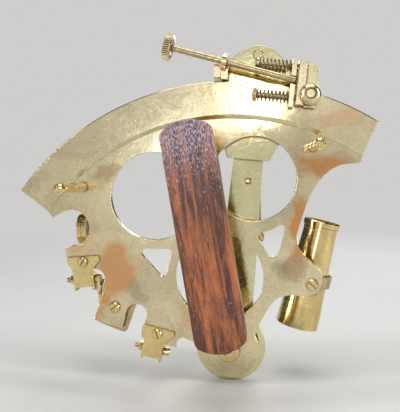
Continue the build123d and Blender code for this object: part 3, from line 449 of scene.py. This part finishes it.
MATERIALS = {
    "cast": brass("cast_brass", CAST_LIGHT, CAST_DARK, (0.11, 0.24), pits=0.6, stains=PLATE_STAINS,
                  grain=(1.0, 1.0, 0.25), edge=0.6, tarnish=0.9, frost=0.4, relief=0.7, wave=0.04,
                  buffed=BUFFED),
    "arm": brass("arm_brass", ARM_LIGHT, ARM_DARK, (0.05, 0.12), pits=0.4, grain=(1.0, 1.0, 0.1), edge=0.3,
                 tarnish=0.5, frost=0.15, relief=0.35, wave=0.05),
    "tube": brass("tube_brass", GOLD_LIGHT, GOLD_DARK, (0.10, 0.24), pits=0.4, stains=TUBE_STAINS,
                  grain=(1.0, 1.0, 0.04), tarnish=0.8, relief=0.6),
    "pressed": brass("pressed_brass", GOLD_LIGHT, GOLD_DARK, (0.09, 0.18), pits=0.5, relief=0.5,
                     wave=0.45),
    "polished": brass("polished_brass", GOLD_LIGHT, GOLD_DARK, (0.08, 0.18), edge=0.15),
    "satin": brass("satin_brass", CAST_LIGHT, CAST_DARK, (0.16, 0.28), pits=0.5, tarnish=0.7,
                   frost=0.3),
    "knurl": brass("knurled_brass", CAST_LIGHT, CAST_DARK, (0.30, 0.40), pits=0.2, edge=0.05,
                   tarnish=0.4, relief=0.1, grime=0.1),
    "bell": brass("bell_brass", CAST_LIGHT, GOLD_DARK, (0.22, 0.34), pits=0.3, edge=0.15, relief=0.3,
                  ring=(bell_middle(), *BELL_SHADE_RING)),
    "rod": brass("rod_brass", AGED_LIGHT, AGED_DARK, (0.16, 0.26), pits=0.3, tarnish=0.9,
                 relief=0.15),
    "aged": brass("aged_brass", AGED_LIGHT, AGED_DARK, (0.15, 0.30), pits=0.6, tarnish=0.8,
                  frost=0.2),
    "wood": rosewood(),
    "spring": steel("spring_steel", (0.34, 0.27, 0.19), 0.26),
    "scale": steel("vernier_silver", (0.82, 0.81, 0.77), 0.28),
    "mirror": mirror("silvered_glass"),
    "lens": glass("lens_glass", (0.95, 0.98, 0.98)),
    "red": glass("red_glass", (0.50, 0.03, 0.02)),
    "green": glass("green_glass", (0.03, 0.24, 0.07)),
    "smoke": glass("smoke_glass", (0.09, 0.09, 0.10)),
    "engraved": engraving(),
}
horizon_low, horizon_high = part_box("horizon_glass")
MATERIALS["half_mirror"] = mirror("half_silvered_glass", (horizon_low.y + horizon_high.y) / 2 - PIVOT.y)

# Look of each material slot in the record, and of the nodes that differ from their slot.
RECORD_SLOT = {
    "cast_brass": "cast", "polished_brass": "polished", "aged_brass": "aged", "rosewood": "wood",
    "spring_steel": "spring", "scale_metal": "scale", "silvered_glass": "mirror",
    "half_silvered_glass": "half_mirror", "lens_glass": "lens", "red_glass": "red",
    "green_glass": "green", "smoke_glass": "smoke",
}

NODE_LOOK = {
    "index_arm": "arm", "arm_end_plate": "arm", "telescope_tube": "tube", "tangent_rod": "rod",
    "tangent_bearing": "satin", "guide_lug": "satin", "clamp_bar": "satin", "clamp_block": "satin",
    "index_shade_bracket": "pressed", "horizon_shade_bracket": "pressed", "clamp_screw": "bell",
    "handle_liner": "polished",
}


def paint_cad_nodes():
    """Give every CAD node its own look, or else the look of its material slot in the record."""
    for part in frame["record"]["subparts"]:
        look = MATERIALS[NODE_LOOK.get(part["node"], RECORD_SLOT[part["material_slot"]])]
        for slot in nodes[part["node"]].material_slots:
            slot.material = look


# ---- mesh building blocks ---------------------------------------------------------------------
def add_piece(name, mesh_data, material, body):
    """Make an object from a bmesh, give it a look and let it ride on a body."""
    mesh = bpy.data.meshes.new(name)
    bmesh.ops.recalc_face_normals(mesh_data, faces=mesh_data.faces)
    mesh_data.to_mesh(mesh)
    mesh_data.free()
    piece = bpy.data.objects.new(name, mesh)
    bpy.context.scene.collection.objects.link(piece)
    mesh.materials.append(MATERIALS[material])
    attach(piece, body)
    return piece


def smooth_by_angle(piece, degrees=35):
    """Smooth shading that keeps edges sharper than an angle."""
    piece.data.shade_smooth()
    piece.data.set_sharp_from_angle(angle=math.radians(degrees))


def frame_at(origin, direction):
    """Matrix whose Z axis runs along a direction from an origin."""
    turn = Vector(direction).normalized().to_track_quat("Z", "Y").to_matrix().to_4x4()
    return Matrix.Translation(origin) @ turn


def sweep(mesh_data, points, radius, sides=8):
    """Round wire along a line of points, with closed ends."""
    rings = []
    for index, point in enumerate(points):
        ahead = points[min(index + 1, len(points) - 1)] - points[max(index - 1, 0)]
        matrix = frame_at(point, ahead)
        ring = []
        for step in range(sides):
            angle = 2 * math.pi * step / sides
            local = Vector((radius * math.cos(angle), radius * math.sin(angle), 0))
            ring.append(mesh_data.verts.new(matrix @ local))
        rings.append(ring)
    for ring, following in zip(rings, rings[1:]):
        shift = nearest_shift(ring, following)
        for step in range(sides):
            other = (step + 1) % sides
            mesh_data.faces.new((ring[step], ring[other], following[(other + shift) % sides],
                                 following[(step + shift) % sides]))
    mesh_data.faces.new(rings[0])
    mesh_data.faces.new(rings[-1])


def nearest_shift(ring, following):
    """How far the next ring is turned against this one, in sides."""
    distances = [(vert.co - ring[0].co).length for vert in following]
    return distances.index(min(distances))


def helix(origin, direction, radius, start, end, turns, closed=0.0, steps=20):
    """Points of a coil about an axis; closed is the share of the turns that lie flat at each end."""
    matrix = frame_at(origin, direction)
    count = int(turns * steps)
    points = []
    for index in range(count + 1):
        share = index / count
        rise = min(max((share - closed) / (1 - 2 * closed), 0.0), 1.0)
        angle = 2 * math.pi * turns * share
        local = (radius * math.cos(angle), radius * math.sin(angle), start + (end - start) * rise)
        points.append(matrix @ Vector(local))
    return points


def spans(node, origin, direction):
    """Lowest and highest distance along an axis, and the largest distance from it, of a CAD node."""
    axis = Vector(direction).normalized()
    along = []
    radii = []
    for vertex in nodes[node].data.vertices:
        offset = vertex.co - Vector(origin)
        distance = offset.dot(axis)
        along.append(distance)
        radii.append((offset - axis * distance).length)
    return min(along), max(along), max(radii)


def turned_mesh(profile, origin, direction, sides, radius_at):
    """Surface of revolution; radius_at changes the radius of the profile's marked points by step."""
    matrix = frame_at(origin, direction)
    data = bmesh.new()
    rings = []
    for radius, distance, knurled in profile:
        ring = []
        for step in range(sides):
            angle = 2 * math.pi * step / sides
            r = radius_at(radius, step) if knurled else radius
            local = Vector((r * math.cos(angle), r * math.sin(angle), distance))
            ring.append(data.verts.new(matrix @ local))
        rings.append(ring)
    for ring, following in zip(rings, rings[1:]):
        for step in range(sides):
            other = (step + 1) % sides
            data.faces.new((ring[step], ring[other], following[other], following[step]))
    data.faces.new(rings[0])
    data.faces.new(rings[-1])
    return data


# ---- tangent springs ----------------------------------------------------------------------------
def guide_axes():
    """(depth, distance along the arm) of the two guide screws, read from the springs' CAD solids."""
    spots = [(v.co.y, (v.co - PIVOT).dot(ALONG)) for v in nodes["tangent_springs"].data.vertices]
    middle = sum(v for _, v in spots) / len(spots)
    axes = []
    for side in (-1, 1):
        group = [(y, v) for y, v in spots if (v - middle) * side > 0]
        depth = (min(y for y, _ in group) + max(y for y, _ in group)) / 2
        height = (min(v for _, v in group) + max(v for _, v in group)) / 2
        axes.append((depth, height))
    return axes


WIRE_R = 0.30 * MM
SPRING_R = 3.1 * MM
SPRING_TURNS = 9
FLAT_ENDS = 0.05         # share of the turns that lie flat at each end


def make_springs():
    """Two coil springs on the guide screws, in place of their CAD solids, riding with the arm."""
    left, right, _ = spans("tangent_springs", PIVOT, ACROSS)
    data = bmesh.new()
    for depth, height in guide_axes():
        origin = CENTRE + ALONG * height + Vector((0, depth, 0))
        coil = helix(origin, ACROSS, SPRING_R - WIRE_R, left + WIRE_R, right - WIRE_R, SPRING_TURNS,
                     FLAT_ENDS, 18)
        sweep(data, coil, WIRE_R, 8)
    springs = add_piece("coil_springs", data, "spring", "arm")
    springs.data.shade_smooth()
    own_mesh(springs)
    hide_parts("tangent_springs")


# ---- knurled head -------------------------------------------------------------------------------
KNOB_TEETH = 38
KNURL_DEPTH = 0.5 * MM
KNOB_EDGE = 1.0 * MM     # width of the rounding between the rim and each face
KNOB_DISH = 0.3 * MM     # depth of the turned recess around the screw
STEPS_A_TOOTH = 4


def make_tangent_knob():
    """Knurled head of the tangent screw, with painted shade in its grooves."""
    joint = joints["tangent_turn"]
    origin, axis = Vector(joint["pos_m"]), Vector(joint["axis"])
    low, high, radius = spans("tangent_knob", origin, axis)

    def tooth(r, step):
        return r - (KNURL_DEPTH if step % STEPS_A_TOOTH < 2 else 0.0)

    # Radius, distance along the axis, and whether the knurling cuts into that point.
    profile = [
        (1.2 * MM, low + KNOB_DISH + 0.05 * MM, False), (3.0 * MM, low + KNOB_DISH, False),
        (3.6 * MM, low, False), (radius - KNOB_EDGE, low, False),
        (radius - KNOB_EDGE / 2, low + 0.3 * MM, False), (radius, low + 0.6 * MM, True),
        (radius, high - 0.6 * MM, True), (radius - KNOB_EDGE / 2, high - 0.3 * MM, False),
        (radius - KNOB_EDGE, high, False), (3.4 * MM, high, False),
        (2.9 * MM, high - KNOB_DISH, False), (1.9 * MM, high - KNOB_DISH, False),
    ]
    turned = turned_mesh(profile, origin, axis, KNOB_TEETH * STEPS_A_TOOTH, tooth)
    knob = add_piece("knurled_knob", turned, "knurl", "knob")
    smooth_by_angle(knob)
    # The bottoms of the grooves get the black engraving fill as painted shade.
    knob.data.materials.append(MATERIALS["engraved"])
    middle = origin + axis * ((low + high) / 2)
    for face in knob.data.polygons:
        offset = face.center - middle
        out = offset - axis * offset.dot(axis)
        if abs(offset.dot(axis)) < 0.2 * MM and out.length < radius - KNURL_DEPTH + 0.1 * MM:
            face.material_index = 1
    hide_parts("tangent_knob")


# ---- engraved scales ------------------------------------------------------------------------------
ARC_ZERO = 18.0          # where the scale reads zero, degrees to the right of straight up
ARC_ENDS = (2.2, -62.8)  # ends of the two ruled arcs, degrees to the right of the zero
ARC_IN = 147.0 * MM      # radius of the inner ruled arc, where the marks start
ARC_OUT = 156.6 * MM
FIGURE_R = 153.6 * MM
FIGURE_H = 3.2 * MM
LINE_W = 0.13 * MM
LINE_T = 0.02 * MM
MARKS = ((20, 4.4), (10, 3.5), (2, 2.6), (1, 1.5))       # every so many half degrees, length in mm

VERNIER_R = 146.5 * MM
VERNIER_ZERO = 2.3       # its zero against the middle of the arm, degrees
VERNIER_STEP = 0.2375
VERNIER_MARKS = ((10, 3.2), (5, 2.3), (1, 1.4))
VERNIER_LINE_W = 0.10 * MM


def mark_length(step, marks):
    """Length of a scale mark: the first in the list whose interval the step falls on."""
    return next(length for every, length in marks if step % every == 0) * MM


def spoke(data, angle, r_in, r_out, y, width=LINE_W):
    """A thin radial bar lying on a face at an angle from straight up."""
    outward = Vector((math.sin(angle), 0, math.cos(angle)))
    sideways = Vector((math.cos(angle), 0, -math.sin(angle))) * (width / 2)
    corners = []
    for depth in (y - LINE_T, y + LINE_T):
        for radius, side in ((r_in, -1), (r_in, 1), (r_out, 1), (r_out, -1)):
            corner = CENTRE + outward * radius + sideways * side + Vector((0, depth, 0))
            corners.append(data.verts.new(corner))
    for face in ((0, 1, 2, 3), (7, 6, 5, 4), (0, 4, 5, 1), (1, 5, 6, 2), (2, 6, 7, 3), (3, 7, 4, 0)):
        data.faces.new([corners[i] for i in face])


def arc_line(data, radius, start, end, y, steps=120):
    """A thin closed band along an arc."""
    half = LINE_W / 2
    sections = []
    for index in range(steps + 1):
        angle = start + (end - start) * index / steps
        outward = Vector((math.sin(angle), 0, math.cos(angle)))
        section = []
        for r, depth in ((radius - half, y - LINE_T), (radius + half, y - LINE_T),
                         (radius + half, y + LINE_T), (radius - half, y + LINE_T)):
            section.append(data.verts.new(CENTRE + outward * r + Vector((0, depth, 0))))
        sections.append(section)
    for section, following in zip(sections, sections[1:]):
        for corner in range(4):
            other = (corner + 1) % 4
            data.faces.new((section[corner], section[other], following[other], following[corner]))
    data.faces.new(sections[0])
    data.faces.new(sections[-1])


def figure(text, angle, y, name, body):
    """A number on a face that looks along +Y, with its foot away from the pivot."""
    curve = bpy.data.curves.new(name, "FONT")
    curve.body = text
    curve.size = FIGURE_H
    curve.align_x = "CENTER"
    curve.align_y = "CENTER"
    curve.extrude = LINE_T
    outward = Vector((math.sin(angle), 0, math.cos(angle)))
    right = Vector((math.cos(angle), 0, -math.sin(angle)))
    facing = Vector((0, 1, 0))
    turn = Matrix((right, -outward, facing)).transposed().to_4x4()
    piece = bpy.data.objects.new(name, curve)
    bpy.context.scene.collection.objects.link(piece)
    piece.matrix_world = Matrix.Translation(CENTRE + outward * FIGURE_R + facing * y) @ turn
    curve.materials.append(MATERIALS["engraved"])
    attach(piece, body)


def make_arc_scale():
    """Degree scale on the front of the limb: one degree read is half a degree of arc."""
    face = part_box("frame_plate")[1].y
    data = bmesh.new()
    for half_degree in range(-8, 251):
        angle = math.radians(ARC_ZERO - half_degree / 4)
        spoke(data, angle, ARC_IN, ARC_IN + mark_length(half_degree, MARKS), face)
    start, end = (math.radians(ARC_ZERO + turn) for turn in ARC_ENDS)
    arc_line(data, ARC_IN, start, end, face)
    arc_line(data, ARC_OUT, start, end, face)
    add_piece("arc_graduations", data, "engraved", "frame")
    for reading in range(0, 121, 10):
        angle = math.radians(ARC_ZERO - reading / 2)
        figure(str(reading), angle, face, f"arc_figure_{reading}", "frame")


def make_vernier_marks():
    """Vernier lines on the small silver plate of the arm."""
    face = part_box("vernier_scale")[1].y
    data = bmesh.new()
    for step in range(-2, 21):
        angle = ARM_TURN - math.radians(step * VERNIER_STEP - VERNIER_ZERO)
        inner = VERNIER_R - mark_length(step, VERNIER_MARKS)
        spoke(data, angle, inner, VERNIER_R, face, VERNIER_LINE_W)
    add_piece("vernier_marks", data, "engraved", "arm")


# ---- threads --------------------------------------------------------------------------------------
BOLT_R = 1.5 * MM
THREAD_ENDS = (-11.4 * MM, -9.3 * MM)    # along the bolt, from the middle of the bracket
THREAD_TURNS = 4
THREAD_WIRE_R = 0.16 * MM


def make_bolt_threads():
    """Thread on the free end of each shade bolt, beyond its nut."""
    data = bmesh.new()
    for name in ("index_shade_turn_1", "horizon_shade_turn_1"):
        axis = -Vector(joints[name]["axis"])
        origin = Vector(joints[name]["pos_m"])
        sweep(data, helix(origin, axis, BOLT_R, *THREAD_ENDS, THREAD_TURNS, 0.0, 18), THREAD_WIRE_R, 6)
    threads = add_piece("bolt_threads", data, "aged", "frame")
    threads.data.shade_smooth()


# ---- stage ----------------------------------------------------------------------------------------
FLOOR_SIZE = 6.0

# Direction of the brightest part of the studio, and how its glow falls off away from it.
BRIGHTEST = (-0.10, -0.99, -0.05)
GLOW = (0.50, 0.93, 0.06, 0.68)
UNEVEN = (0.3, 0.7, 0.78, 1.12)

# Places and targets are metres from the pivot; sizes are width and height, power is in watts.
WARM, COOL, WHITE = (1.0, 0.98, 0.94), (0.80, 0.88, 1.0), (1.0, 1.0, 1.0)
LIGHTS = [
    ("key", (0.004, -0.98, 0.272), (0.0145, 0, 0.149), (0.085, 0.10), 0.24, WARM),
    ("window", (-0.158, -0.98, 0.115), (-0.02, -0.04, 0.11), (0.08, 0.15), 0.40, COOL),
    ("left_strip", (-0.9, -0.35, 0.35), (0, 0, 0.08), (0.10, 0.9), 4.0, WHITE),
    ("right_strip", (0.9, -0.25, 0.3), (0, 0, 0.08), (0.10, 0.9), 5.0, WHITE),
    ("top_soft", (0, -0.1, 1.25), (0, 0, 0), (1.0, 1.0), 8.0, WHITE),
    ("far_side_fill", (0.2, 1.0, 0.6), (0, 0, 0.08), (0.7, 0.5), 5.0, WHITE),
]

CAMERA_PLACE = PIVOT + Vector((0.0178, -0.3248, 0.1080))
CAMERA_TARGET = PIVOT + Vector((-0.0176, 0.0, 0.0868))
LENS = 48.06             # focal length in millimetres on a sensor 36 mm wide
SENSOR = 36.0


def aim(item, place, target):
    """Put a light or the camera at a place, looking at a target."""
    item.location = place
    item.rotation_mode = "QUATERNION"
    item.rotation_quaternion = (target - place).to_track_quat("-Z", "Y")


def add_floor():
    """Plain pale floor under the object."""
    bpy.ops.mesh.primitive_plane_add(size=FLOOR_SIZE, location=(0, 0, cad_low.z))
    floor = bpy.context.object
    floor.name = "floor"
    floor.data.materials.append(pale_floor())


def add_light(name, place, target, size, power, colour):
    """Rectangular light."""
    data = bpy.data.lights.new(name, "AREA")
    data.shape = "RECTANGLE"
    data.size, data.size_y = size
    data.energy = power
    data.color = colour
    light = bpy.data.objects.new(name, data)
    bpy.context.scene.collection.objects.link(light)
    aim(light, PIVOT + Vector(place), PIVOT + Vector(target))


def add_world():
    """A soft studio: brightest behind the camera and above, dim at the sides, with uneven patches."""
    world = bpy.data.worlds.new("studio")
    world.use_nodes = True
    sky = Nodes(world.node_tree)
    direction = sky.new("ShaderNodeTexCoord").outputs["Generated"]
    glow = sky.ramp(sky.vector("DOT_PRODUCT", direction, BRIGHTEST), *GLOW)
    patches = sky.ramp(sky.noise(direction, 2.6, 1.0), *UNEVEN, shape="LINEAR")
    seen = sky.new("ShaderNodeMix", data_type="FLOAT")
    sky.wire(sky.new("ShaderNodeLightPath").outputs["Is Camera Ray"], seen.inputs["Factor"])
    sky.wire(sky.times(glow, patches), seen.inputs["A"])
    sky.wire(BACKDROP, seen.inputs["B"])
    background = sky.tree.nodes["Background"]
    sky.wire((*BACKDROP_TINT, 1), background.inputs["Color"])
    sky.wire(seen.outputs["Result"], background.inputs["Strength"])
    bpy.context.scene.world = world


def add_camera():
    """Camera at the angle from which the object is known."""
    data = bpy.data.cameras.new("camera")
    data.lens = LENS
    data.sensor_width = SENSOR
    data.clip_start = 0.01
    camera = bpy.data.objects.new("camera", data)
    bpy.context.scene.collection.objects.link(camera)
    aim(camera, CAMERA_PLACE, CAMERA_TARGET)
    bpy.context.scene.camera = camera


def main():
    """Looks of the CAD nodes, then the pieces that only the visual model has, then the stage."""
    paint_cad_nodes()
    make_springs()
    make_tangent_knob()
    make_arc_scale()
    make_vernier_marks()
    make_bolt_threads()
    add_floor()
    add_world()
    for light in LIGHTS:
        add_light(*light)
    add_camera()
    bpy.context.scene.view_settings.view_transform = "Standard"


main()
